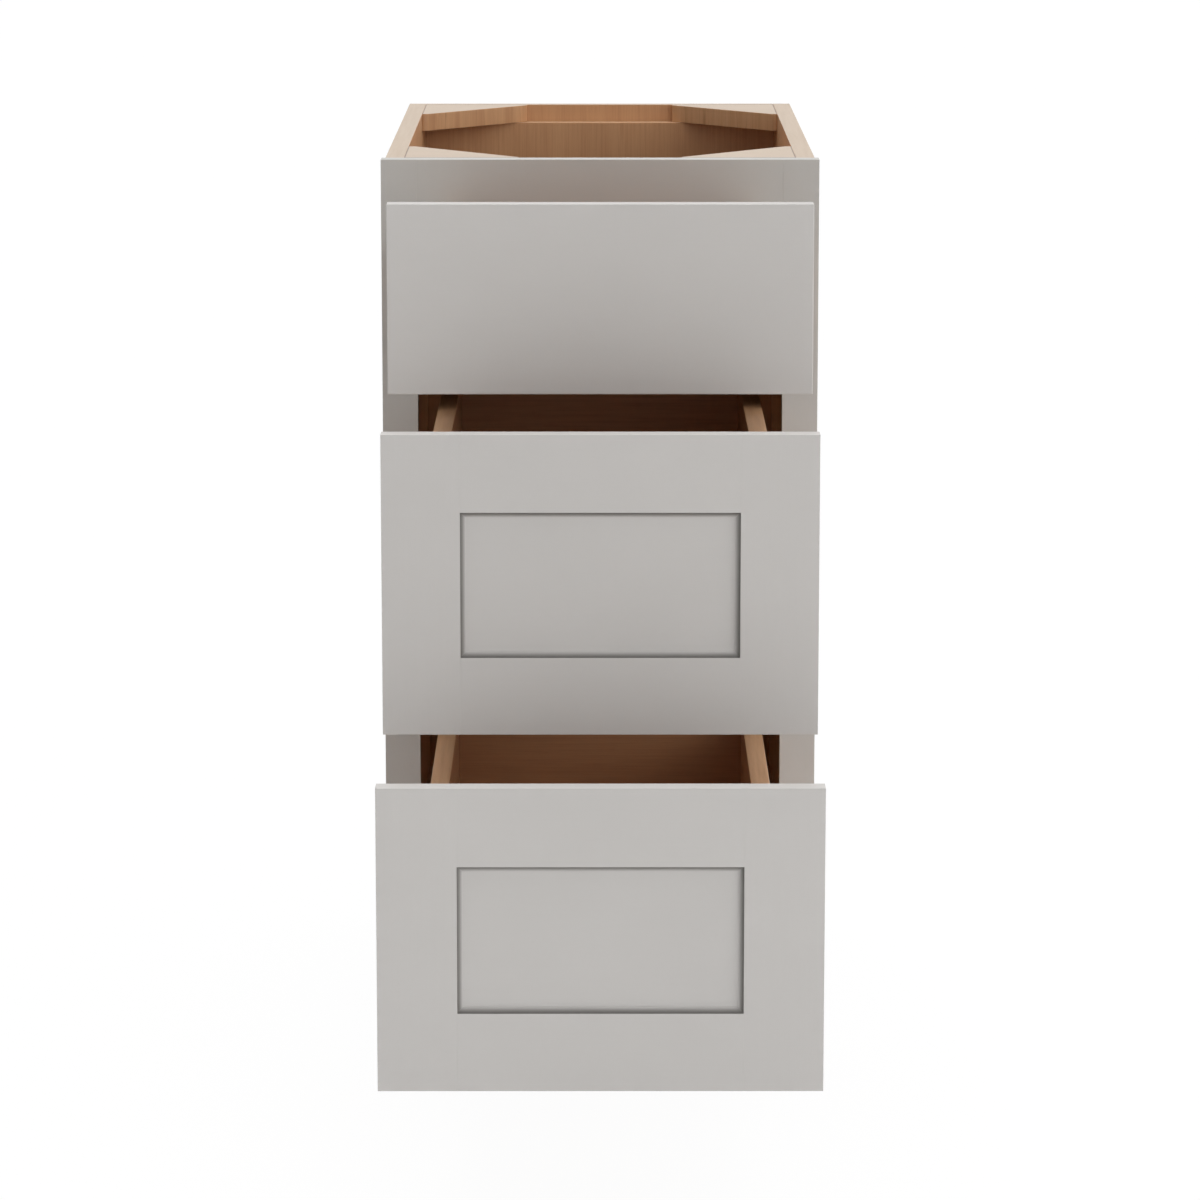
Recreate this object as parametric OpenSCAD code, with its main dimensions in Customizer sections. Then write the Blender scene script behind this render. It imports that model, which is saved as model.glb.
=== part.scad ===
// Kitchen drawer base cabinet: a boarded carcass with a painted face frame,
// and three drawers that stand open by different amounts on telescopic runners.
// +X is to the right as seen from the front, +Y goes back to the wall, +Z is up.
// The origin is on the floor, in the middle of the width and of the whole depth.

/* [Carcass] */
// Width of the cabinet across its face frame
cab_w = 406; // [340:1:700]
// Height from the floor to the top edge
cab_h = 876; // [860:1:920]
// Depth from the face of the frame to the wall
cab_d = 610; // [595:1:700]
// Thickness of the side, floor, brace and hanging boards
board_t = 17.5; // [12:0.5:19]
// Thickness of the back board
back_t = 12; // [6:0.5:16]
// How far the face frame stands out past each side board
frame_lip = 3.5; // [0:0.5:6]
// Height of the space for the toes
toe_h = 114; // [90:1:120]
// Depth of the space for the toes, from the face of the frame
toe_d = 76; // [50:1:90]
// Thickness of the toe board
toe_t = 12; // [9:0.5:19]
// Height of the rail that the wall screws go through
hang_h = 90; // [60:1:120]
// Length of a corner brace along the front or the back
brace_w = 106; // [60:1:130]
// Length of a corner brace along the side
brace_d = 112; // [60:1:130]
// Width of the blunt ends of a corner brace
brace_nose = 6; // [3:0.5:15]

/* [Face frame] */
// Thickness of the face frame
frame_t = 19; // [16:0.5:22]
// Width of a stile
stile_w = 33; // [28:0.5:45]
// Height of the top rail
top_rail_h = 44; // [38:0.5:50]
// Height of the two rails between the drawers
mid_rail_h = 38; // [28:0.5:45]
// Height of the bottom rail
bottom_rail_h = 30; // [25:0.5:40]

/* [Drawer fronts] */
// Thickness of the drawer fronts
front_t = 19; // [16:0.5:22]
// Height of the top drawer front
top_front_h = 170; // [150:1:200]
// Height of the middle drawer front
mid_front_h = 264; // [240:1:280]
// Space between two drawer fronts
front_gap = 13; // [3:0.5:16]
// Height of frame that shows above the top front
top_reveal = 20.5; // [6:0.5:24]
// Height of frame that shows below the lowest front
bottom_reveal = 17.5; // [6:0.5:22]
// How far a front covers the stile on each side
front_cover = 19.5; // [12:0.5:24]
// Width of the stiles and rails of a framed front
shaker_w = 68; // [45:1:80]
// Thickness of the panel in a framed front
panel_t = 6; // [4:0.5:8]
// Depth of the panel's face behind the face of its frame
recess = 5; // [4:0.1:7]
// Depth of the small step from the face of a frame to the hollow moulding
cove_quirk = 0.4; // [0.2:0.1:1]
// Width of the hollow moulding round the panel
cove_w = 4.8; // [3:0.1:6]
// Radius of the moulding's hollow
cove_r = 8; // [6:0.5:20]
// Thickness of the moulding's edge against the panel
cove_land = 0.6; // [0.4:0.1:1.5]
// Depth of the groove that holds the panel
groove_in = 6; // [4:0.5:10]

/* [Drawer boxes] */
// Space between a drawer box and the side of its opening
box_side_gap = 18.75; // [17:0.25:24]
// Length of the drawer boxes
box_len = 533; // [450:1:550]
// Thickness of the sides, front and back of a box
box_t = 17; // [12:0.5:18]
// Thickness of the floor of a box
box_floor_t = 9; // [6:0.5:12]
// Depth of the groove round the floor of a box
floor_in = 6; // [4:0.5:8]
// Height of a box's floor above the lower edge of its sides
floor_up = 13; // [12:0.5:16]
// Space above the top drawer box, under the top rail
top_box_gap = 12; // [6:1:50]
// Space above the middle drawer box, under the upper middle rail
mid_box_gap = 17; // [6:1:80]
// Space above the lowest drawer box, under the lower middle rail
low_box_gap = 38; // [6:1:80]
// Least height of drawer side for each dovetail
tail_pitch = 36; // [28:1:50]
// Share of that height that the wide end of a tail takes
tail_share = 0.6; // [0.5:0.01:0.7]
// Run of a dovetail's slope for each unit across it
tail_slope = 7; // [6:0.5:8]

/* [Runners] */
// Thickness of the runners' sheet steel
metal_t = 1.5; // [1:0.1:2]
// Height of a runner, from its rail to the drawer floor
runner_h = 27; // [25:0.5:30]
// Length of the fixed rail of a runner
rail_len = 540; // [460:1:550]
// Length of the sliding beam and the drawer channel
beam_len = 512; // [440:1:514]
// Width of the flanges of the sliding beam
beam_w = 24; // [18:0.5:28]
// Thickness of those flanges
flange_t = 3; // [2:0.1:3.5]
// Thickness of the web of the sliding beam
web_t = 6; // [4:0.5:8]
// Running clearance between the members of a runner
run_gap = 0.4; // [0.3:0.05:0.6]
// Space between a runner and the drawer side next to it
runner_side_gap = 3; // [2:0.5:4]
// Height of the wooden packers that carry the runners
packer_h = 34; // [31:1:40]
// Distance of the first screw hole in a runner from the face of the frame
hole_in = 64; // [40:1:100]
// Distance from each of those holes to the next
hole_step = 128; // [64:1:160]
// Diameter of those holes
hole_dia = 4.5; // [3.5:0.5:6]
// Width of the hooks that hold the back of a box down
hook_w = 12; // [8:0.5:16]
// Height of a hook's pin above the floor of the box
hook_up = 6; // [5:0.5:10]
// Diameter of that pin
pin_dia = 5; // [4:0.5:7]
// Depth of the bore for that pin in the back of a box
pin_bore = 10; // [6:0.5:12]

/* [Small parts] */
// Space behind a shut drawer front
shut_gap = 2; // [1.5:0.1:3]
// Space left between a bumper and the frame of a shut drawer
bumper_gap = 0.3; // [0.2:0.05:0.6]
// Diameter of the bumpers
bumper_dia = 9; // [6:0.5:11]
// Height of a bumper's dome
bumper_dome = 0.8; // [0.3:0.1:0.9]
// Distance of a bumper from the top or bottom of its front
bumper_in = 24; // [14:1:30]
// Width of the catches that hold a box on its runners
catch_w = 24; // [16:1:30]
// Length of those catches
catch_len = 46; // [30:1:60]
// Height of those catches
catch_h = 10; // [7:0.5:11]
// Radius of a catch's corners
catch_round = 4; // [2:0.5:4]
// Diameter of the screw hole in a catch
catch_hole = 4; // [3:0.5:5]
// Reach of a catch's lever past its body
lever_len = 13; // [8:0.5:18]
// Width of that lever
lever_w = 11; // [8:0.5:14]
// Height of that lever
lever_h = 5; // [3:0.5:7]
// Width of the thumb slot in a catch
thumb_w = 12; // [8:0.5:14]
// Length of the thumb slot in a catch
thumb_len = 18; // [12:0.5:24]

/* [How far the drawers stand open] */
// Opening of the top drawer
top_open = 176; // [0:1:490]
// Opening of the middle drawer
mid_open = 328; // [0:1:490]
// Opening of the lowest drawer
low_open = 480; // [0:1:490]

/* [Hidden] */
$fn = 64;
// Levels of the drawers: 0 is the lowest, 1 the middle and 2 the top one
open_by = [low_open, mid_open, top_open];
// Heights of the lower edges of the fronts, and the heights of the fronts
top_front_z = cab_h - top_reveal - top_front_h;
mid_front_z = top_front_z - front_gap - mid_front_h;
low_front_z = toe_h + bottom_reveal;
low_front_h = mid_front_z - front_gap - low_front_z;
front_z = [low_front_z, mid_front_z, top_front_z];
front_h = [low_front_h, mid_front_h, top_front_h];
// Each rail lies behind the middle of the space between two fronts
low_rail_z = mid_front_z - (front_gap + mid_rail_h) / 2;
high_rail_z = top_front_z - (front_gap + mid_rail_h) / 2;
// Heights of the bottoms of the openings, where the runners stand
open_z = [toe_h + bottom_rail_h, low_rail_z + mid_rail_h, high_rail_z + mid_rail_h];
opening_w = cab_w - 2 * stile_w;
front_w = opening_w + 2 * front_cover;
carcass_w = cab_w - 2 * frame_lip;
inner_w = carcass_w - 2 * board_t;
back_y = cab_d - back_t;
floor_top = open_z[0];
brace_z = cab_h - board_t;
open_top = [low_rail_z, high_rail_z, cab_h - top_rail_h];
// Drawer boxes, with their lower edges clear of the runners' rails
box_w = opening_w - 2 * box_side_gap;
box_inner_w = box_w - 2 * box_t;
box_z = [for (z = open_z) z + runner_h - floor_up];
floor_z = [for (z = box_z) z + floor_up];
box_gap = [low_box_gap, mid_box_gap, top_box_gap];
box_h = [for (i = [0 : 2]) open_top[i] - box_gap[i] - box_z[i]];
box_y = -shut_gap;
// Runner sections, measured from the middle plane and from the opening's bottom
cavity_w = beam_w + 2 * run_gap;
cavity_h = flange_t + 2 * run_gap;
channel_w = cavity_w + 2 * metal_t;
channel_h = cavity_h + 2 * metal_t;
slot_w = web_t + 4 * run_gap;
runner_x = box_inner_w / 2 - runner_side_gap - channel_w / 2;
packer_x = box_w / 2 + runner_side_gap + metal_t;
rail_y = shut_gap;
beam_y = box_y + box_t + run_gap;
catch_gap = run_gap;
bumper_t = shut_gap - bumper_gap;
bumper_x = (opening_w + front_cover) / 2;
bracket_len = rail_len + rail_y - frame_t;
hole_count = 1 + floor((rail_y + rail_len - hole_in - hole_dia) / hole_step);
// Height of the hooks' pins above the underside of the box's floor
pin_up = box_floor_t + hook_up;
box_end = box_y + box_len;
// A cut reaches this far past the solid that it opens
past = 1;
widest_open = max(open_by);
mid_y = (cab_d - shut_gap - front_t - widest_open) / 2;

// Colours
paint = [0.73, 0.71, 0.69];
wood = [0.78, 0.62, 0.45];
pale_wood = [0.86, 0.78, 0.67];
steel = [0.68, 0.70, 0.72];
plastic = [0.55, 0.56, 0.58];
rubber = [0.85, 0.85, 0.83];

// Puts a piece drawn from the frame's face into the part's own frame
module placed() {
    translate([0, -mid_y, 0]) children();
}

// Moves a piece of a drawer from shut to where that drawer stands open
module drawn(level) {
    placed() translate([0, -open_by[level], 0]) children();
}

// The sliding beams go half as far as their drawer
module half_drawn(level) {
    placed() translate([0, -open_by[level] / 2, 0]) children();
}

// The same piece on the left and on the right
module pair() {
    for (side = [0, 1]) mirror([side, 0, 0]) children();
}

// A section drawn in X and Z, run back along Y from y
module run(y, length) {
    translate([0, y + length, 0]) rotate([90, 0, 0]) linear_extrude(length) children();
}

// An outline drawn in Y and Z, run to the right along X from x
module across(x, width) {
    translate([x, 0, 0]) rotate([90, 0, 90]) linear_extrude(width) children();
}

// A rectangle with round corners, from its lowest corner
module rounded(width, length, radius) {
    translate([radius, 0]) square([width - 2 * radius, length]);
    translate([0, radius]) square([width, length - 2 * radius]);
    for (x = [radius, width - radius], y = [radius, length - radius])
        translate([x, y]) circle(radius);
}

// A board centred on the middle plane
module middle_board(width, y, depth, z, height) {
    translate([-width / 2, y, z]) cube([width, depth, height]);
}

// Carcass

module side_panel() {
    color(pale_wood) across(-carcass_w / 2, board_t) polygon([
        [frame_t, cab_h], [cab_d, cab_h], [cab_d, 0],
        [toe_d, 0], [toe_d, toe_h], [frame_t, toe_h]
    ]);
}

module cabinet_floor() {
    color(wood) middle_board(inner_w, frame_t, back_y - frame_t, floor_top - board_t, board_t);
}

module back_panel() {
    color(wood) middle_board(inner_w, back_y, back_t, 0, cab_h);
}

module hanging_rail() {
    color(wood) middle_board(inner_w, back_y - board_t, board_t, brace_z - hang_h, hang_h);
}

module toe_board() {
    color(paint) middle_board(inner_w, toe_d, toe_t, 0, floor_top - board_t);
}

// A corner brace lies flat in the angle of a side board and the front or back.
// Its long edge runs across the corner between two blunt ends.
module brace(corner_y, inward) {
    color(pale_wood) translate([-inner_w / 2, corner_y, brace_z]) linear_extrude(board_t)
        polygon([
            [0, 0], [brace_w, 0], [brace_w, inward * brace_nose],
            [brace_nose, inward * brace_d], [0, inward * brace_d]
        ]);
}

module packers() {
    color(wood) for (z = open_z)
        translate([-inner_w / 2, frame_t, z])
            cube([inner_w / 2 - packer_x, bracket_len, packer_h]);
}

// Face frame

module frame_stile() {
    color(paint) translate([-cab_w / 2, 0, toe_h]) cube([stile_w, frame_t, cab_h - toe_h]);
}

module frame_rail(z, height) {
    color(paint) middle_board(opening_w, 0, frame_t, z, height);
}

// Runners: a fixed rail, a beam that goes half way, and a channel on the drawer

module channel_section() {
    difference() {
        translate([-channel_w / 2, 0]) square([channel_w, channel_h]);
        translate([-cavity_w / 2, metal_t]) square([cavity_w, cavity_h]);
        translate([-slot_w / 2, metal_t]) square([slot_w, channel_h]);
    }
}

module runner_rails(level) {
    bracket_x = packer_x - runner_x;
    color(steel) pair() translate([runner_x, 0, open_z[level]]) {
        run(rail_y, rail_len) union() {
            channel_section();
            square([bracket_x, metal_t]);
        }
        difference() {
            run(frame_t, bracket_len)
                translate([bracket_x - metal_t, 0]) square([metal_t, packer_h]);
            for (i = [0 : hole_count - 1])
                translate([bracket_x - metal_t - past, hole_in + i * hole_step, packer_h / 2])
                    rotate([0, 90, 0]) cylinder(h = metal_t + 2 * past, d = hole_dia);
        }
    }
}

module runner_beams(level) {
    web_z = metal_t + run_gap;
    color(steel) pair() translate([runner_x, 0, open_z[level]]) run(beam_y, beam_len) {
        translate([-beam_w / 2, web_z]) square([beam_w, flange_t]);
        translate([-web_t / 2, web_z]) square([web_t, runner_h - 2 * web_z]);
        translate([-beam_w / 2, runner_h - web_z - flange_t]) square([beam_w, flange_t]);
    }
}

module runner_channels(level) {
    color(steel) pair() translate([runner_x, 0, floor_z[level]]) {
        run(beam_y, beam_len) mirror([0, 1]) channel_section();
        rear_hook();
    }
}

// A hook on the end of the channel goes up behind the box, and its pin goes
// forward into the back. It is drawn from the underside of the box's floor.
module rear_hook() {
    channel_end = beam_y + beam_len;
    tab_y = box_end + run_gap;
    translate([-hook_w / 2, channel_end, -metal_t])
        cube([hook_w, tab_y + metal_t - channel_end, metal_t]);
    run(tab_y, metal_t) translate([-hook_w / 2, -metal_t])
        rounded(hook_w, metal_t + pin_up + hook_w / 2, metal_t);
    translate([0, tab_y + metal_t, pin_up]) rotate([90, 0, 0])
        cylinder(h = pin_bore - 2 * run_gap, d = pin_dia);
}

// The bores in the back of a box that the hooks' pins go into
module pin_bores(level) {
    translate([runner_x, box_end - pin_bore, floor_z[level] + pin_up]) rotate([-90, 0, 0])
        cylinder(h = pin_bore + past, d = pin_dia + 2 * run_gap);
}

// A catch sits under the front of a drawer floor, inside each runner.
// Its lever reaches towards the middle, where a finger presses it to free the box.
module catches(level) {
    catch_x = runner_x - channel_w / 2 - catch_gap - catch_w;
    thumb_x = (catch_w - thumb_w) / 2;
    lever_y = catch_len - catch_round - lever_w;
    hole_y = (thumb_len + catch_len) / 2;
    color(plastic) pair() translate([catch_x, beam_y, floor_z[level] - catch_h]) difference() {
        union() {
            linear_extrude(catch_h) rounded(catch_w, catch_len, catch_round);
            translate([-lever_len, lever_y, 0])
                linear_extrude(lever_h) rounded(catch_w, lever_w, catch_round);
        }
        translate([thumb_x, -past, -past]) cube([thumb_w, thumb_len + past, catch_h / 2 + past]);
        translate([catch_w / 2, hole_y, -past]) cylinder(h = catch_h + 2 * past, d = catch_hole);
    }
}

// A bumper is a disc with a domed face
module bumpers(level) {
    edge_r = bumper_dia / 2;
    dome_r = (edge_r * edge_r + bumper_dome * bumper_dome) / (2 * bumper_dome);
    color(rubber) pair() for (z = [bumper_in, front_h[level] - bumper_in])
        translate([bumper_x, box_y, front_z[level] + z])
            rotate([-90, 0, 0]) rotate_extrude() intersection() {
                square([edge_r, bumper_t]);
                translate([0, bumper_t - dome_r]) circle(dome_r);
            }
}

// Drawer boxes, joined at their corners by dovetails

// Tails at one end of a side, from height z0 to z1, with their wide ends at 0
module tails(z0, z1) {
    count = max(1, floor((z1 - z0) / tail_pitch));
    pitch = (z1 - z0) / count;
    wide = pitch * tail_share / 2;
    narrow = wide - box_t / tail_slope;
    for (i = [0 : count - 1]) translate([0, z0 + (i + 0.5) * pitch])
        polygon([[0, -wide], [box_t, -narrow], [box_t, narrow], [0, wide]]);
}

module front_tails(level) {
    translate([box_y, box_z[level]]) tails(0, box_h[level]);
}

module back_tails(level) {
    translate([box_end, box_z[level]]) mirror([1, 0])
        tails(floor_up + box_floor_t, box_h[level]);
}

// The floor's outline, from which the grooves for it are cut too
module floor_board(level) {
    middle_board(
        box_inner_w + 2 * floor_in, box_y + box_t - floor_in, box_len - box_t + floor_in,
        floor_z[level], box_floor_t
    );
}

module box_side(level) {
    color(wood) difference() {
        across(-box_w / 2, box_t) union() {
            translate([box_y + box_t, box_z[level]])
                square([box_len - 2 * box_t, box_h[level]]);
            translate([box_end - box_t, box_z[level]])
                square([box_t, floor_up + box_floor_t]);
            front_tails(level);
            back_tails(level);
        }
        floor_board(level);
    }
}

module box_front(level) {
    color(wood) difference() {
        middle_board(box_w, box_y, box_t, box_z[level], box_h[level]);
        pair() across(box_inner_w / 2, box_t) front_tails(level);
        floor_board(level);
    }
}

module box_back(level) {
    seat = floor_up + box_floor_t;
    color(wood) difference() {
        middle_board(
            box_w, box_end - box_t, box_t, box_z[level] + seat, box_h[level] - seat
        );
        pair() across(box_inner_w / 2, box_t) back_tails(level);
        pair() pin_bores(level);
    }
}

module box_floor(level) {
    color(wood) floor_board(level);
}

// Drawer fronts. A framed front is drawn with its face at y = 0.

module at_front(level) {
    drawn(level) translate([0, -shut_gap - front_t, front_z[level]]) children();
}

// The hollow moulding along an edge of the opening, mitred at both ends.
// It runs along X from 0, and reaches cove_w up from the edge. Its hollow is an
// arc from the small step at the face to the thin edge that lies on the panel.
module moulding(length) {
    arc_start = [cove_quirk, 0];
    arc_end = [recess - cove_land, cove_w];
    chord = arc_end - arc_start;
    rise = sqrt(cove_r * cove_r - chord * chord / 4);
    arc_centre = (arc_start + arc_end) / 2 + rise * [-chord.y, chord.x] / norm(chord);
    intersection() {
        across(0, length) difference() {
            square([recess, cove_w]);
            translate(arc_centre) circle(cove_r);
            square([cove_quirk, cove_w]);
        }
        run(0, recess) polygon([
            [0, 0], [length, 0], [length - cove_w, cove_w], [cove_w, cove_w]
        ]);
    }
}

module panel_board(level) {
    edge = shaker_w - groove_in;
    middle_board(front_w - 2 * edge, recess, panel_t, edge, front_h[level] - 2 * edge);
}

module framed_stile(level) {
    opening_h = front_h[level] - 2 * shaker_w;
    color(paint) {
        difference() {
            translate([-front_w / 2, 0, 0]) cube([shaker_w, front_t, front_h[level]]);
            translate([shaker_w - groove_in - front_w / 2, recess, -past])
                cube([groove_in + past, panel_t, front_h[level] + 2 * past]);
        }
        translate([shaker_w - front_w / 2, 0, front_h[level] - shaker_w])
            rotate([0, 90, 0]) moulding(opening_h);
    }
}

// The lower rail of a framed front; the upper one is its mirror image
module framed_rail(level) {
    rail_w = front_w - 2 * shaker_w;
    color(paint) {
        difference() {
            union() {
                middle_board(rail_w, 0, front_t, 0, shaker_w);
                middle_board(rail_w + 2 * groove_in, recess, panel_t, 0, shaker_w);
            }
            panel_board(level);
        }
        translate([-rail_w / 2, 0, shaker_w]) moulding(rail_w);
    }
}

module framed_top_rail(level) {
    translate([0, 0, front_h[level]]) mirror([0, 0, 1]) framed_rail(level);
}

module framed_panel(level) {
    color(paint) panel_board(level);
}

module slab_front(level) {
    color(paint) middle_board(front_w, 0, front_t, 0, front_h[level]);
}

module right() {
    mirror([1, 0, 0]) children();
}

placed() side_panel();  // side_panel_left
placed() right() side_panel();  // side_panel_right
placed() cabinet_floor();
placed() back_panel();
placed() hanging_rail();
placed() toe_board();
placed() frame_stile();  // stile_left
placed() right() frame_stile();  // stile_right
placed() frame_rail(cab_h - top_rail_h, top_rail_h);  // top_rail
placed() frame_rail(high_rail_z, mid_rail_h);  // upper_mid_rail
placed() frame_rail(low_rail_z, mid_rail_h);  // lower_mid_rail
placed() frame_rail(toe_h, bottom_rail_h);  // bottom_rail
placed() brace(frame_t, 1);  // brace_front_left
placed() right() brace(frame_t, 1);  // brace_front_right
placed() brace(back_y, -1);  // brace_rear_left
placed() right() brace(back_y, -1);  // brace_rear_right
placed() packers();  // packers_left
placed() right() packers();  // packers_right
placed() runner_rails(0);  // low_runner_rails
placed() runner_rails(1);  // mid_runner_rails
placed() runner_rails(2);  // top_runner_rails
half_drawn(0) runner_beams(0);  // low_runner_beams
half_drawn(1) runner_beams(1);  // mid_runner_beams
half_drawn(2) runner_beams(2);  // top_runner_beams

at_front(2) slab_front(2);  // top_front
drawn(2) box_side(2);  // top_box_left
drawn(2) right() box_side(2);  // top_box_right
drawn(2) box_front(2);  // top_box_front
drawn(2) box_back(2);  // top_box_back
drawn(2) box_floor(2);  // top_box_floor
drawn(2) runner_channels(2);  // top_runner_channels
drawn(2) catches(2);  // top_catches
drawn(2) bumpers(2);  // top_bumpers

at_front(1) framed_stile(1);  // mid_front_stile_left
at_front(1) right() framed_stile(1);  // mid_front_stile_right
at_front(1) framed_top_rail(1);  // mid_front_top_rail
at_front(1) framed_rail(1);  // mid_front_bottom_rail
at_front(1) framed_panel(1);  // mid_front_panel
drawn(1) box_side(1);  // mid_box_left
drawn(1) right() box_side(1);  // mid_box_right
drawn(1) box_front(1);  // mid_box_front
drawn(1) box_back(1);  // mid_box_back
drawn(1) box_floor(1);  // mid_box_floor
drawn(1) runner_channels(1);  // mid_runner_channels
drawn(1) catches(1);  // mid_catches
drawn(1) bumpers(1);  // mid_bumpers

at_front(0) framed_stile(0);  // low_front_stile_left
at_front(0) right() framed_stile(0);  // low_front_stile_right
at_front(0) framed_top_rail(0);  // low_front_top_rail
at_front(0) framed_rail(0);  // low_front_bottom_rail
at_front(0) framed_panel(0);  // low_front_panel
drawn(0) box_side(0);  // low_box_left
drawn(0) right() box_side(0);  // low_box_right
drawn(0) box_front(0);  // low_box_front
drawn(0) box_back(0);  // low_box_back
drawn(0) box_floor(0);  // low_box_floor
drawn(0) runner_channels(0);  // low_runner_channels
drawn(0) catches(0);  // low_catches
drawn(0) bumpers(0);  // low_bumpers
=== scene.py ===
import math

import bmesh
import bpy
from mathutils import Matrix, Vector


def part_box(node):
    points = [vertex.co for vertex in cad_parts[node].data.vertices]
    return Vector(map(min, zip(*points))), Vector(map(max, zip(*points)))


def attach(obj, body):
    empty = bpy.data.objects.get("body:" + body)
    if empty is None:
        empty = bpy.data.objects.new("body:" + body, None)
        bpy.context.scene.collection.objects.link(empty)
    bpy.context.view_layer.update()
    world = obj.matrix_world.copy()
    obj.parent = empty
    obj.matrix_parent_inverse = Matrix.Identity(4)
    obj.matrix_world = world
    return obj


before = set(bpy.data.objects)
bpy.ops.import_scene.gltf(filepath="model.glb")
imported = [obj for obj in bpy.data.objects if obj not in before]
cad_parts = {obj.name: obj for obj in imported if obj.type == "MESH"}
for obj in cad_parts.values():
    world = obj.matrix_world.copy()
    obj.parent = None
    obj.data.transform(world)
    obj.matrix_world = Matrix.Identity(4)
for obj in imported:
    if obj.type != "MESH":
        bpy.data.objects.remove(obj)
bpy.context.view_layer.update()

LEVELS = ("low", "mid", "top")
AXES = "XYZ"

# Where the face frame's front lies
FACE_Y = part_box("top_rail")[0].y


# Colours

def linear(red, green, blue):
    """An sRGB colour, written as 0 to 255, in the linear values that the shaders want."""
    values = [c / 255 for c in (red, green, blue)]
    return [c / 12.92 if c <= 0.04045 else ((c + 0.055) / 1.055) ** 2.4 for c in values] + [1.0]


# Pairs of tones that a material mixes
PAINT = (linear(190, 187, 184), linear(184, 181, 178))
# A darker copy of the fronts' paint for the frame and the outer sides: painted shade
SHADED_FRAME_PAINT = (linear(181, 179, 175), linear(176, 174, 170))
VENEER = (linear(207, 161, 118), linear(183, 134, 94))
# A lighter copy of the veneer for the right rear brace: painted light
LIT_VENEER = (linear(222, 178, 134), VENEER[0])
VENEER_EDGE = (linear(183, 163, 141), linear(174, 152, 128))
PLIES = (linear(208, 172, 134), linear(168, 124, 88))
MAPLE = (linear(186, 140, 102), linear(164, 116, 80))
MAPLE_EDGE = (linear(206, 164, 124), linear(186, 142, 104))
STEEL = (linear(176, 178, 180), linear(200, 201, 203))
PLASTIC = (linear(118, 120, 124), linear(128, 130, 133))
RUBBER = (linear(222, 222, 216), linear(210, 209, 202))

# Single tones
END_GRAIN = linear(160, 112, 76)
# Painted shade for the hollows of the mouldings
HOLLOW_SHADE = linear(98, 95, 91)
JOINT_TONE = linear(92, 68, 48)
STAPLE_TONE = linear(96, 84, 74)
FLOOR_TONE = (0.88, 0.88, 0.88, 1.0)
WHITE = (1.0, 1.0, 1.0, 1.0)


# Tools for materials

# The Mix node's sockets for colours
MIX_FIRST = 6
MIX_SECOND = 7
MIX_RESULT = 2

# How far a pattern is moved on each piece, times a chance of 0 to 1
PIECE_SHIFT = (7.0, 3.0, 5.0)

# How squarely a surface faces an axis where its other material starts, and where it has it in full
FACING = (0.55, 0.85)

# The range in which most of a noise lies, and its middle
NOISE_SPAN = (0.3, 0.7)
NOISE_MIDDLE = 0.5


class Graph:
    """A node tree that is put together from small steps."""

    def __init__(self, tree):
        self.nodes = tree.nodes
        self.links = tree.links

    def put(self, kind, inputs=None, **settings):
        """Adds a node with its settings, and with a value or a link at each input that is given."""
        node = self.nodes.new(kind)
        for key, value in settings.items():
            setattr(node, key, value)
        for key, value in (inputs or {}).items():
            self.feed(node.inputs[key], value)
        return node

    def feed(self, socket, value):
        if isinstance(value, bpy.types.NodeSocket):
            self.links.new(value, socket)
        else:
            socket.default_value = value

    def combine(self, operation, first, second=0.0):
        return self.put("ShaderNodeMath", {0: first, 1: second}, operation=operation).outputs[0]

    def spread(self, value, low, high, new_low, new_high):
        """The value moved from the range low to high into the range new_low to new_high."""
        inputs = {"Value": value, "From Min": low, "From Max": high, "To Min": new_low, "To Max": new_high}
        return self.put("ShaderNodeMapRange", inputs).outputs[0]

    def share(self, value, none, full, most=1.0):
        """0 where the value is at none, and rising to most where it is at full."""
        return self.spread(value, none, full, 0.0, most)

    def seen(self):
        """1 for the rays that show a surface, straight, mirrored or through clear material, else 0."""
        path = self.put("ShaderNodeLightPath").outputs
        seen = self.combine("MAXIMUM", path["Is Camera Ray"], path["Is Glossy Ray"])
        return self.combine("MAXIMUM", seen, path["Is Transmission Ray"])


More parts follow.
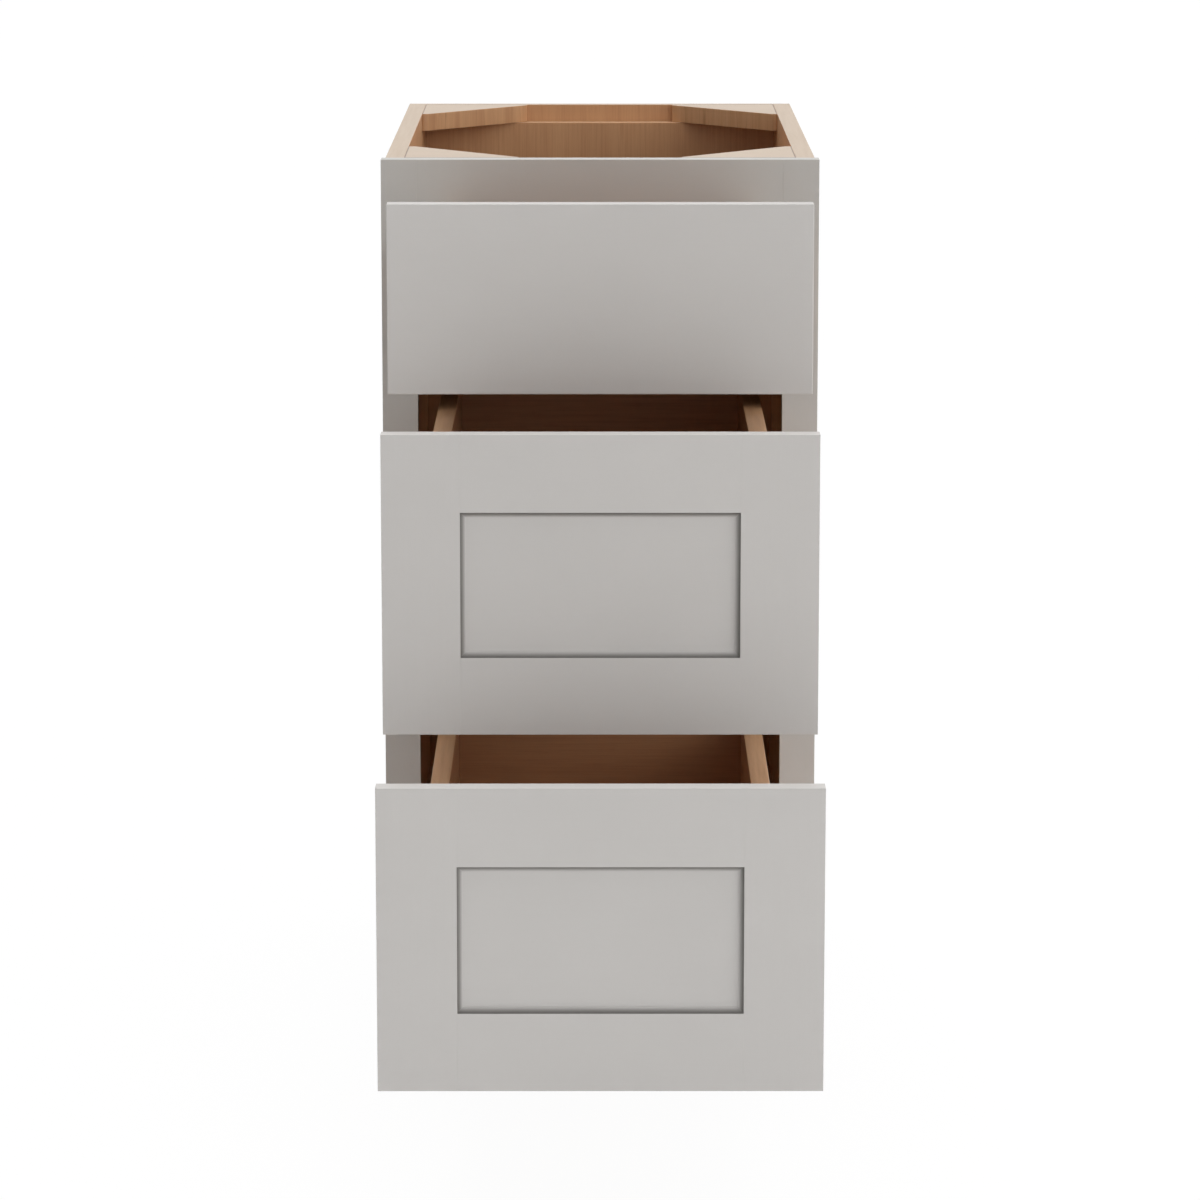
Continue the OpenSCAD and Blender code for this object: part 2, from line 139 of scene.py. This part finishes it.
class Look(Graph):
    """A material and its patterns."""

    def __init__(self, name):
        self.material = bpy.data.materials.new(name)
        self.material.use_nodes = True
        super().__init__(self.material.node_tree)
        self.shader = self.nodes["Principled BSDF"]

    def set(self, **inputs):
        """Sets the shader's inputs, whose names have _ for each space."""
        for key, value in inputs.items():
            self.feed(self.shader.inputs[key.replace("_", " ")], value)

    def blend(self, factor, first, second):
        inputs = {0: factor, MIX_FIRST: first, MIX_SECOND: second}
        return self.put("ShaderNodeMix", inputs, data_type="RGBA").outputs[MIX_RESULT]

    def place(self, apart=True):
        """Object coordinates, moved by a different amount on each piece where they are kept apart."""
        spot = self.put("ShaderNodeTexCoord").outputs["Object"]
        if not apart:
            return spot
        chance = self.put("ShaderNodeObjectInfo").outputs["Random"]
        shift = self.put("ShaderNodeVectorMath", {0: PIECE_SHIFT, "Scale": chance}, operation="SCALE")
        return self.put("ShaderNodeVectorMath", {0: spot, 1: shift.outputs[0]}, operation="ADD").outputs[0]

    def part(self, axis):
        """One of a piece's own three coordinates."""
        return self.put("ShaderNodeSeparateXYZ", {0: self.place(apart=False)}).outputs[axis]

    def along(self, axis, stretch):
        """Coordinates that are drawn out along one axis, as wood fibres are."""
        scale = [1.0, 1.0, 1.0]
        scale[AXES.index(axis)] = 1 / stretch
        return self.put("ShaderNodeMapping", {"Vector": self.place(), "Scale": scale}).outputs[0]

    def noise(self, vector, scale, detail=4.0, roughness=0.55, distortion=0.0):
        inputs = {"Vector": vector, "Scale": scale, "Detail": detail, "Roughness": roughness}
        inputs["Distortion"] = distortion
        return self.put("ShaderNodeTexNoise", inputs).outputs[0]

    def normal(self, axis):
        """How far the surface's own direction goes along an axis, from -1 to 1."""
        turned = self.put("ShaderNodeTexCoord").outputs["Normal"]
        return self.put("ShaderNodeSeparateXYZ", {0: turned}).outputs[axis]

    def facing(self, axis, sign=0):
        """1 where the surface faces along the axis, or along both its ways where sign is 0."""
        part = self.normal(axis)
        part = self.combine("MULTIPLY", part, sign) if sign else self.combine("ABSOLUTE", part)
        return self.share(part, *FACING)

    def bump(self, height, strength, distance):
        inputs = {"Height": height, "Strength": strength, "Distance": distance}
        self.set(Normal=self.put("ShaderNodeBump", inputs).outputs[0])


# Paint

# Width of the mouldings round the panels
HOLLOW_WIDTH = 0.0048

# The painted shade in a moulding: how fast it falls off, and the share of the width in which it starts
HOLLOW_FALL = 1.8
HOLLOW_LIP = 0.02

# How far a surface turns to the front where the painted shade starts, and where it is full
TO_FRONT = (-0.2, -0.3)

# Height of the paint's bumps, how much of it the fibres give, and how rough the paint is
PAINT_RELIEF = 0.0004
FIBRE_SHARE = 0.5
PAINT_ROUGHNESS = (0.36, 0.46)


def hollow_sides():
    """For each piece with a moulding: its name, the axis across, and where the hollow starts and ends."""
    for level in ("mid", "low"):
        for part, axis, end in (("stile_left", "X", 1), ("stile_right", "X", 0),
                                ("bottom_rail", "Z", 1), ("top_rail", "Z", 0)):
            name = f"{level}_front_{part}"
            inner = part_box(name)[end][AXES.index(axis)]
            yield name, axis, inner - HOLLOW_WIDTH * (1 if end else -1), inner


def hollow_shade_mask(look, axis, start, end):
    """How much painted shade a moulding gets: 1 at its outer edge, falling to 0 where it meets the panel.
    """
    part = look.part(axis)
    fall = look.combine("POWER", look.share(part, start, end), HOLLOW_FALL)
    inside = look.share(part, start, start + (end - start) * HOLLOW_LIP)
    return look.combine("MULTIPLY", inside, look.combine("SUBTRACT", 1.0, fall))


def painted_colour(look, axis, tones):
    """Sprayed satin paint, a little uneven, with the grain just showing through."""
    light, dark = tones
    cloud = look.noise(look.place(apart=False), scale=6.0, detail=3.0)
    fibres = look.noise(look.along(axis, 30.0), scale=420.0, detail=3.0)
    colour = look.blend(look.share(cloud, *NOISE_SPAN, most=0.45), light, dark)
    return look.blend(look.share(fibres, 0.4, 0.75, most=0.12), colour, dark), fibres


def paint(name, axis, tones=PAINT, hollow=None):
    """Satin paint, with painted shade in the hollow of a moulding."""
    look = Look("satin_paint_" + name)
    colour, fibres = painted_colour(look, axis, tones)
    if hollow:
        # Painted shade in the moulding's hollow, on the surfaces that face forward
        front = look.share(look.normal("Y"), *TO_FRONT)
        painted_shade = look.combine("MULTIPLY", front, hollow_shade_mask(look, *hollow))
        colour = look.blend(painted_shade, colour, HOLLOW_SHADE)
    peel = look.noise(look.place(), scale=900.0, detail=2.0)
    height = look.combine("ADD", look.combine("MULTIPLY", fibres, FIBRE_SHARE), peel)
    look.bump(height, strength=0.12, distance=PAINT_RELIEF)
    look.set(Base_Color=colour, Roughness=look.spread(peel, *NOISE_SPAN, *PAINT_ROUGHNESS))
    return look.material


# Wood

# Thickness of a light and a dark layer of plywood together
PLY_PITCH = 0.005

# Height of the grain, how deep its pores are beside its streaks, and the range in which it lies
WOOD_RELIEF = 0.0003
PORE_DEPTH = 0.6
GRAIN_SPAN = (0.2, 0.8)

# Cracks in a sawn edge: how far from its middle the noise makes one, and how dark it is
CRACK_SPAN = 0.012
CRACK_SHARE = 0.55

# The dark gaps beside the braces: distance in from the edge where they are dark, and where they end
SIDE_GAP = (0.0006, 0.0013)
END_GAP = (0.0016, 0.0026)

# Staples in the back: from one to the next, half the width of one, and how far in from the rail's edges
STAPLE_STEP = 0.075
STAPLE_HALF = 0.0055
STAPLE_IN = 0.018

# How far a staple's ends fade out, and half its wire's thickness where it is dark and where it ends
STAPLE_FADE = 0.0004
STAPLE_WIRE = (0.0007, 0.0011)


def grain(look, axis, tones):
    """Wood along its fibres: broad bands, thin streaks and short dark pores."""
    light, dark = tones
    deep = [c * c for c in dark]
    bands = look.noise(look.along(axis, 16.0), scale=30.0, detail=3.0, roughness=0.5, distortion=0.6)
    streaks = look.noise(look.along(axis, 40.0), scale=520.0, detail=5.0, roughness=0.65)
    pores = look.noise(look.along(axis, 22.0), scale=1700.0, detail=2.0)
    colour = look.blend(look.share(bands, *NOISE_SPAN, most=0.45), light, dark)
    colour = look.blend(look.share(streaks, 0.42, 0.72, most=0.22), colour, deep)
    colour = look.blend(look.share(pores, 0.66, 0.8, most=0.2), colour, deep)
    return colour, look.combine("SUBTRACT", streaks, look.combine("MULTIPLY", pores, PORE_DEPTH))


def finish_wood(look, colour, height, strength, roughness):
    """The colour of a piece of wood, with bumps and an uneven roughness from its grain."""
    look.bump(height, strength, WOOD_RELIEF)
    look.set(Base_Color=colour, Roughness=look.spread(height, *GRAIN_SPAN, *roughness))
    return look.material


def plies(look, axis):
    """The layers of a plywood edge, stacked along the axis."""
    wave = look.combine("SINE", look.combine("MULTIPLY", look.part(axis), 2 * math.pi / PLY_PITCH))
    flecks = look.noise(look.place(), scale=500.0)
    layers = look.blend(look.share(wave, -0.3, 0.3), *PLIES)
    return look.blend(look.share(flecks, 0.45, 0.7, most=0.4), layers, END_GRAIN)


def pale_edge(look, axis, tones):
    """The streaks of an edge that runs along the axis."""
    streaks = look.noise(look.along(axis, 30.0), scale=260.0)
    return look.blend(look.share(streaks, 0.35, 0.75), *tones)


def figure(look, colour, tones):
    """Broad uneven bands and a few fine cracks, as where a board is sawn across its fibres."""
    light, dark = tones
    bands = look.noise(look.along("Z", 14.0), scale=95.0, detail=2.0, roughness=0.5)
    colour = look.blend(look.share(bands, 0.5, 0.68, most=0.6), colour, dark)
    colour = look.blend(look.share(bands, 0.46, 0.32, most=0.5), colour, light)
    wander = look.noise(look.along("Z", 26.0), scale=120.0, detail=1.0)
    away = look.combine("ABSOLUTE", look.combine("SUBTRACT", wander, NOISE_MIDDLE))
    crack = look.combine("MULTIPLY", look.share(away, CRACK_SPAN, 0.0), CRACK_SHARE)
    return look.blend(crack, colour, END_GRAIN)


def joint_lines(look, colour):
    """The dark gaps where the braces meet the side boards, the back and the face frame."""
    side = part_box("brace_rear_right")[1].x
    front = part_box("brace_front_left")[0].y
    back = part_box("brace_rear_left")[1].y
    dark, end = SIDE_GAP
    gap = look.share(look.combine("ABSOLUTE", look.part("X")), side - end, side - dark)
    dark, end = END_GAP
    for seam, inward in ((front, 1), (back, -1)):
        near = look.share(look.part("Y"), seam + end * inward, seam + dark * inward)
        gap = look.combine("MAXIMUM", gap, near)
    return look.blend(look.combine("MULTIPLY", gap, look.facing("Z", 1)), colour, JOINT_TONE)


def staples(look, colour, heights):
    """Rows of sunk staples through the back, each lying along X, at the given heights."""
    turns = look.combine("ADD", look.combine("DIVIDE", look.part("X"), STAPLE_STEP), 0.5)
    turns = look.combine("SUBTRACT", look.combine("FRACT", turns), 0.5)
    off = look.combine("MULTIPLY", look.combine("ABSOLUTE", turns), STAPLE_STEP)
    across = look.share(off, STAPLE_HALF + STAPLE_FADE, STAPLE_HALF)
    dark, end = STAPLE_WIRE
    rows = 0.0
    for height in heights:
        away = look.combine("ABSOLUTE", look.combine("SUBTRACT", look.part("Z"), height))
        rows = look.combine("MAXIMUM", rows, look.share(away, end, dark))
    mark = look.combine("MULTIPLY", look.combine("MULTIPLY", across, rows), look.facing("Y", 1))
    return look.blend(mark, colour, STAPLE_TONE)


def veneer_board(name, axis, thin, top_tones=None, staple_rows=()):
    """A veneered board whose layers show at its edges."""
    look = Look(name)
    colour, height = grain(look, axis, VENEER)
    for edge in AXES.replace(thin, ""):
        colour = look.blend(look.facing(edge), colour, plies(look, thin))
    if top_tones:
        colour = look.blend(look.facing("Z", 1), colour, pale_edge(look, "X", top_tones))
    if staple_rows:
        colour = staples(look, colour, staple_rows)
    return finish_wood(look, colour, height, strength=0.2, roughness=(0.42, 0.58))


def side_board(name, outward):
    """A side board: veneer inside, paint outside, pale edging on top."""
    look = Look(name)
    colour, height = grain(look, "Z", VENEER)
    # The outside takes the frame's darker copy of the paint, which is painted shade
    painted, _ = painted_colour(look, "Z", SHADED_FRAME_PAINT)
    colour = look.blend(look.facing("X", outward), colour, painted)
    colour = look.blend(look.facing("Y"), colour, plies(look, "X"))
    colour = look.blend(look.facing("Z", -1), colour, plies(look, "X"))
    colour = look.blend(look.facing("Z", 1), colour, pale_edge(look, "Y", VENEER_EDGE))
    return finish_wood(look, colour, height, strength=0.12, roughness=(0.4, 0.55))


def solid_wood(name, axis, top_tones=None):
    """A maple board: long grain on its faces, end grain where the fibres are cut."""
    look = Look(name)
    colour, height = grain(look, axis, MAPLE)
    rings = look.noise(look.place(), scale=260.0, roughness=0.7)
    cut = look.blend(look.share(rings, 0.35, 0.7), END_GRAIN, MAPLE[1])
    colour = look.blend(look.facing(axis), colour, cut)
    if top_tones:
        colour = look.blend(look.facing("Z", 1), colour, pale_edge(look, axis, top_tones))
    return finish_wood(look, colour, height, strength=0.18, roughness=(0.38, 0.52))


def brace_wood(name, tones):
    """A corner brace: figured on its sawn edges, pale on its flat faces, with dark lines at its joints."""
    look = Look(name)
    colour, height = grain(look, "Z", tones)
    colour = figure(look, colour, tones)
    colour = look.blend(look.facing("Z"), colour, pale_edge(look, "X", VENEER_EDGE))
    colour = joint_lines(look, colour)
    return finish_wood(look, colour, height, strength=0.18, roughness=(0.38, 0.52))


# Steel, plastic and rubber

# Height of the bumps in steel and plastic, the least and most roughness of each, and how clear rubber is
FINE_RELIEF = 0.0002
STEEL_ROUGHNESS = (0.34, 0.48)
PLASTIC_ROUGHNESS = (0.45, 0.6)
RUBBER_ROUGHNESS = (0.3, 0.42)
RUBBER_CLEARNESS = 0.35


def zinc(name):
    """Zinc-plated sheet steel, drawn along its length."""
    look = Look(name)
    lines = look.noise(look.along("Y", 60.0), scale=900.0, detail=3.0)
    spangle = look.noise(look.place(), scale=130.0, detail=2.0)
    tone = look.blend(look.share(spangle, *NOISE_SPAN), *STEEL)
    look.bump(lines, strength=0.08, distance=FINE_RELIEF)
    look.set(Base_Color=tone, Metallic=1.0, Roughness=look.spread(lines, *NOISE_SPAN, *STEEL_ROUGHNESS))
    return look.material


def moulded_plastic(name):
    """Grey plastic with a fine grit from its mould."""
    look = Look(name)
    grit = look.noise(look.place(), scale=1600.0, detail=2.0)
    cloud = look.noise(look.place(), scale=40.0, detail=2.0)
    tone = look.blend(look.share(cloud, *NOISE_SPAN), *PLASTIC)
    look.bump(grit, strength=0.25, distance=FINE_RELIEF)
    look.set(Base_Color=tone, Roughness=look.spread(grit, *NOISE_SPAN, *PLASTIC_ROUGHNESS))
    return look.material


def soft_rubber(name):
    """Rubber that lets a part of the light through."""
    look = Look(name)
    cloud = look.noise(look.place(), scale=300.0, detail=2.0)
    tone = look.blend(look.share(cloud, *NOISE_SPAN), *RUBBER)
    look.set(Base_Color=tone, Roughness=look.spread(cloud, *NOISE_SPAN, *RUBBER_ROUGHNESS))
    look.set(Transmission_Weight=RUBBER_CLEARNESS)
    return look.material


# Materials of the frame's pieces

def dress(names, material):
    for name in names:
        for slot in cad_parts[name].material_slots:
            slot.material = material


# The frame takes the darker copy of the paint, which is painted shade
dress(["stile_left", "stile_right"], paint("frame_uprights", "Z", SHADED_FRAME_PAINT))
frame_rails = ["top_rail", "upper_mid_rail", "lower_mid_rail", "bottom_rail", "toe_board"]
dress(frame_rails, paint("frame_rails", "X", SHADED_FRAME_PAINT))
dress(["top_front", "mid_front_panel", "low_front_panel"], paint("along_X", "X"))
# The framed fronts' pieces, with painted shade in their mouldings
for name, axis, start, end in hollow_sides():
    dress([name], paint(name, "Z" if axis == "X" else "X", hollow=(axis, start, end)))

dress(["side_panel_left"], side_board("side_board_left", -1))
dress(["side_panel_right"], side_board("side_board_right", 1))
dress(["cabinet_floor"], veneer_board("floor_board", "Y", "Z"))
dress(["hanging_rail"], veneer_board("rail_board", "Z", "Y"))
rail_low, rail_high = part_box("hanging_rail")
floor_low, floor_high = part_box("cabinet_floor")
staple_rows = [rail_low.z + STAPLE_IN, rail_high.z - STAPLE_IN, (floor_low.z + floor_high.z) / 2]
dress(["back_panel"], veneer_board("back_board", "Z", "Y", VENEER_EDGE, staple_rows))
dress(["brace_front_left", "brace_front_right", "brace_rear_left"], brace_wood("brace_wood", VENEER))
# The right rear brace gets the lighter copy of the veneer, which is painted light
dress(["brace_rear_right"], brace_wood("lit_brace_wood", LIT_VENEER))
dress(["packers_left", "packers_right"], solid_wood("packer_wood", "Y"))

long_wood = solid_wood("drawer_side_wood", "Y", MAPLE_EDGE)
cross_wood = solid_wood("drawer_end_wood", "X", MAPLE_EDGE)
floor_wood = veneer_board("drawer_floor_board", "X", "Z")
steel = zinc("zinc_plated_steel")
plastic = moulded_plastic("moulded_grey_plastic")
rubber = soft_rubber("clear_soft_rubber")
for level in LEVELS:
    dress([level + "_box_left", level + "_box_right"], long_wood)
    dress([level + "_box_front", level + "_box_back"], cross_wood)
    dress([level + "_box_floor"], floor_wood)
    dress([level + "_runner_rails", level + "_runner_beams", level + "_runner_channels"], steel)
    dress([level + "_catches"], plastic)
    dress([level + "_bumpers"], rubber)


# Rounded edges

# Widths of the rounding: framed fronts and front braces, other rails and stiles, the slab, and the rest
FRONT_EDGE = 0.00012
FLUSH_EDGE = 0.0002
SLAB_EDGE = 0.0008
PLAIN_EDGE = 0.0005

# Nearer points are joined, faces that turn by less are made one, and edges that turn by more are rounded
SAME_POINT = 0.00001
FLAT = math.radians(0.5)
SHARP = math.radians(50)


def edge_width(name):
    """The width that the edges of a piece are rounded by, or None for a piece that is left as it is."""
    if "runner" in name or "bumper" in name:
        return None
    if "_front_" in name:
        return FRONT_EDGE
    if name == "top_front":
        return SLAB_EDGE
    if name.startswith("stile_") or name.endswith("_rail"):
        return FLUSH_EDGE
    return PLAIN_EDGE


def ease(piece, width):
    """Rounds over the sharp edges of a piece. The narrowest rounding fits every edge without a clamp."""
    weld = piece.modifiers.new("join faces", "WELD")
    weld.merge_threshold = SAME_POINT
    flat = piece.modifiers.new("clear flat faces", "DECIMATE")
    flat.decimate_type = "DISSOLVE"
    flat.angle_limit = FLAT
    bevel = piece.modifiers.new("ease edges", "BEVEL")
    bevel.width = width
    bevel.segments = 2
    bevel.limit_method = "ANGLE"
    bevel.angle_limit = SHARP
    bevel.use_clamp_overlap = width > FRONT_EDGE
    shade = piece.modifiers.new("even shading", "WEIGHTED_NORMAL")
    shade.weight = 100


for name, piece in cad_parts.items():
    width = edge_width(name)
    if width:
        ease(piece, width)


# Screws

# Radius and height of the screws' heads in the runners, the box fronts and the catches
RUNNER_SCREW = (0.0040, 0.0018)
FRONT_SCREW = (0.0050, 0.0024)
CATCH_SCREW = (0.0032, 0.0014)

# A pan head from its seat up: radius and height as shares of the head's
HEAD_PROFILE = ((1.0, 0.0), (1.0, 0.35), (0.92, 0.65), (0.78, 0.88), (0.62, 1.0))
RIM_POINTS = 24

# The cross recess at its top and its floor: reach and half width of an arm, and height, as shares
RECESS = ((0.48, 0.1, 1.0), (0.4, 0.07, 0.3))

# How far each screw is turned from the one before, and the angle from which its edges look sharp
DRIVER_TURN = 0.7
HEAD_SHARP = math.radians(35)

# Screws along a runner: the first hole, the step and the number, and the thickness of the wall they hold
HOLE_IN = 0.064
HOLE_STEP = 0.128
HOLE_COUNT = 4
BRACKET_WALL = 0.0015

# Screws of a front: in from the sides of the box's front, down from its top and up from its foot
SCREW_IN = 0.055
SCREW_DOWN = 0.028
SCREW_UP = 0.048

# Screws of the catches: half a catch's width, and how far back the screw is
CATCH_HALF = 0.012
CATCH_HOLE = 0.032


def round_ring(radius, height):
    angles = [2 * math.pi * i / RIM_POINTS for i in range(RIM_POINTS)]
    return [Vector((radius * math.cos(a), radius * math.sin(a), height)) for a in angles]


def cross_ring(arm, width, height):
    """The outline of a cross-shaped recess, with as many points as the rim has."""
    half = (arm + width) / 2
    quarter = [(arm, 0), (arm, width), (half, width), (width, width), (width, half), (width, arm)]
    ring = []
    for turn in range(4):
        spin = Matrix.Rotation(turn * math.pi / 2, 3, "Z")
        ring += [spin @ Vector((x, y, height)) for x, y in quarter]
    return ring


def screw_rings(radius, height):
    """The rings of points from a head's seat up, over the rim and down into the recess."""
    rings = [round_ring(wide * radius, high * height) for wide, high in HEAD_PROFILE]
    return rings + [cross_ring(arm * radius, half * radius, high * height) for arm, half, high in RECESS]


def add_screws(name, spots, facing, size, body):
    """One piece that holds the heads of screws, each with its own turn of the driver."""
    heads = bmesh.new()
    stand = Vector(facing).to_track_quat("Z", "Y").to_matrix()
    for index, spot in enumerate(spots):
        spin = stand @ Matrix.Rotation(DRIVER_TURN * index, 3, "Z")
        rings = [[heads.verts.new(Vector(spot) + spin @ point) for point in ring]
                 for ring in screw_rings(*size)]
        for lower, upper in zip(rings, rings[1:]):
            for i in range(len(lower)):
                j = (i + 1) % len(lower)
                heads.faces.new((lower[i], lower[j], upper[j], upper[i]))
        heads.faces.new(list(reversed(rings[0])))
        heads.faces.new(rings[-1])
    mesh = bpy.data.meshes.new(name)
    heads.to_mesh(mesh)
    heads.free()
    mesh.polygons.foreach_set("use_smooth", [True] * len(mesh.polygons))
    mesh.set_sharp_from_angle(angle=HEAD_SHARP)
    mesh.materials.append(steel)
    piece = bpy.data.objects.new(name, mesh)
    bpy.context.scene.collection.objects.link(piece)
    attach(piece, body)


def runner_screws(level):
    """The screws of the left runner, which are mirrored for the right one."""
    low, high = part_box(level + "_runner_rails")
    spots = [(low.x + BRACKET_WALL, FACE_Y + HOLE_IN + i * HOLE_STEP, (low.z + high.z) / 2)
             for i in range(HOLE_COUNT)]
    for side, turn in (("left", 1), ("right", -1)):
        places = [(x * turn, y, z) for x, y, z in spots]
        add_screws(f"{level}_runner_screws_{side}", places, (turn, 0, 0), RUNNER_SCREW, "carcass")


def front_screws(level):
    low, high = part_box(level + "_box_front")
    heights = [low.z + SCREW_UP, high.z - SCREW_DOWN]
    places = [(x, high.y, z) for x in (low.x + SCREW_IN, high.x - SCREW_IN) for z in heights]
    add_screws(level + "_front_screws", places, (0, 1, 0), FRONT_SCREW, level + "_drawer")


def catch_screws(level):
    low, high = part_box(level + "_catches")
    places = [(x, low.y + CATCH_HOLE, low.z) for x in (low.x + CATCH_HALF, high.x - CATCH_HALF)]
    add_screws(level + "_catch_screws", places, (0, 0, -1), CATCH_SCREW, level + "_drawer")


for level in LEVELS:
    runner_screws(level)
    front_screws(level)
    catch_screws(level)


# Studio

# The floor: half its width, how far it lies under the cabinet, and how much it glows where it is seen
FLOOR_HALF = 30.0
FLOOR_DROP = 0.0005
FLOOR_GLOW = 0.965

# Brightness of the studio all round, and its soft lights: the way to each, its sharpness and strength
SKY_BASE = 0.22
SKY_LIGHTS = (
    ((0.0, 0.2, 0.98), 16.0, 8.5),
    ((0.8, -0.6, 0.0), 3.0, 1.75),
)

# The lamp: its place to the right and in front, the point that it faces, its width and its power in watts
LAMP_PLACE = (2.2, FACE_Y - 1.6, 1.5)
LAMP_TARGET = (0.0, FACE_Y, 0.45)
LAMP_SIZE = 1.2
LAMP_POWER = 7.0

# The photograph's viewpoint, measured from the middle of the face frame's foot
EYE_X = -0.0032
EYE_OUT = 4.402
EYE_HEIGHT = 1.3006

# How far the view is turned down and to the right, in degrees
EYE_DOWN = 10.794
EYE_RIGHT = 0.041

# Focal length and width of the sensor in millimetres, and how far the camera sees in metres
LENS = 142.85
SENSOR = 36.0
FAR = 200.0


def studio_floor():
    """A matt floor that looks white where it is seen, and still takes a faint shadow."""
    look = Look("studio_floor")
    glow = look.put("ShaderNodeEmission", {"Color": WHITE, "Strength": 1.0})
    matt = look.put("ShaderNodeBsdfDiffuse", {"Color": FLOOR_TONE})
    inputs = {0: look.combine("MULTIPLY", look.seen(), FLOOR_GLOW), 1: matt.outputs[0], 2: glow.outputs[0]}
    mixed = look.put("ShaderNodeMixShader", inputs)
    look.feed(look.nodes["Material Output"].inputs["Surface"], mixed.outputs[0])
    return look.material


def make_floor():
    mesh = bpy.data.meshes.new("floor")
    corners = [(x * FLOOR_HALF, y * FLOOR_HALF, 0) for x, y in ((-1, -1), (1, -1), (1, 1), (-1, 1))]
    mesh.from_pydata(corners, [], [(0, 1, 2, 3)])
    mesh.materials.append(studio_floor())
    floor = bpy.data.objects.new("floor", mesh)
    floor.location.z = -FLOOR_DROP
    bpy.context.scene.collection.objects.link(floor)


def make_world():
    """A studio with a soft light overhead, one in front to the right, and white where it is seen."""
    world = bpy.data.worlds.new("studio")
    world.use_nodes = True
    graph = Graph(world.node_tree)
    way_out = graph.put("ShaderNodeTexCoord").outputs["Generated"]
    parts = graph.put("ShaderNodeSeparateXYZ", {0: way_out}).outputs
    light = SKY_BASE
    for way, sharpness, strength in SKY_LIGHTS:
        part = 0.0
        for axis, share in zip(AXES, way):
            part = graph.combine("ADD", part, graph.combine("MULTIPLY", parts[axis], share))
        glow = graph.combine("POWER", graph.combine("MAXIMUM", part, 0.0), sharpness)
        light = graph.combine("ADD", light, graph.combine("MULTIPLY", glow, strength))
    background = graph.nodes["Background"].inputs
    graph.feed(background["Color"], WHITE)
    graph.feed(background["Strength"], graph.spread(graph.seen(), 0.0, 1.0, light, 1.0))
    bpy.context.scene.world = world


def make_lamp():
    """A round soft lamp that fills the face from the right."""
    lamp = bpy.data.lights.new("right_fill", "AREA")
    lamp.shape = "DISK"
    lamp.size = LAMP_SIZE
    lamp.energy = LAMP_POWER
    holder = bpy.data.objects.new("right_fill", lamp)
    holder.location = LAMP_PLACE
    way = Vector(LAMP_TARGET) - Vector(LAMP_PLACE)
    holder.rotation_euler = way.to_track_quat("-Z", "Y").to_euler()
    bpy.context.scene.collection.objects.link(holder)


def make_camera():
    data = bpy.data.cameras.new("camera")
    data.sensor_width = SENSOR
    data.lens = LENS
    data.clip_end = FAR
    camera = bpy.data.objects.new("camera", data)
    camera.location = (EYE_X, FACE_Y - EYE_OUT, EYE_HEIGHT)
    camera.rotation_euler = (math.radians(90 - EYE_DOWN), 0, math.radians(-EYE_RIGHT))
    bpy.context.scene.collection.objects.link(camera)
    bpy.context.scene.camera = camera


make_floor()
make_world()
make_lamp()
make_camera()
bpy.context.scene.view_settings.view_transform = "Standard"
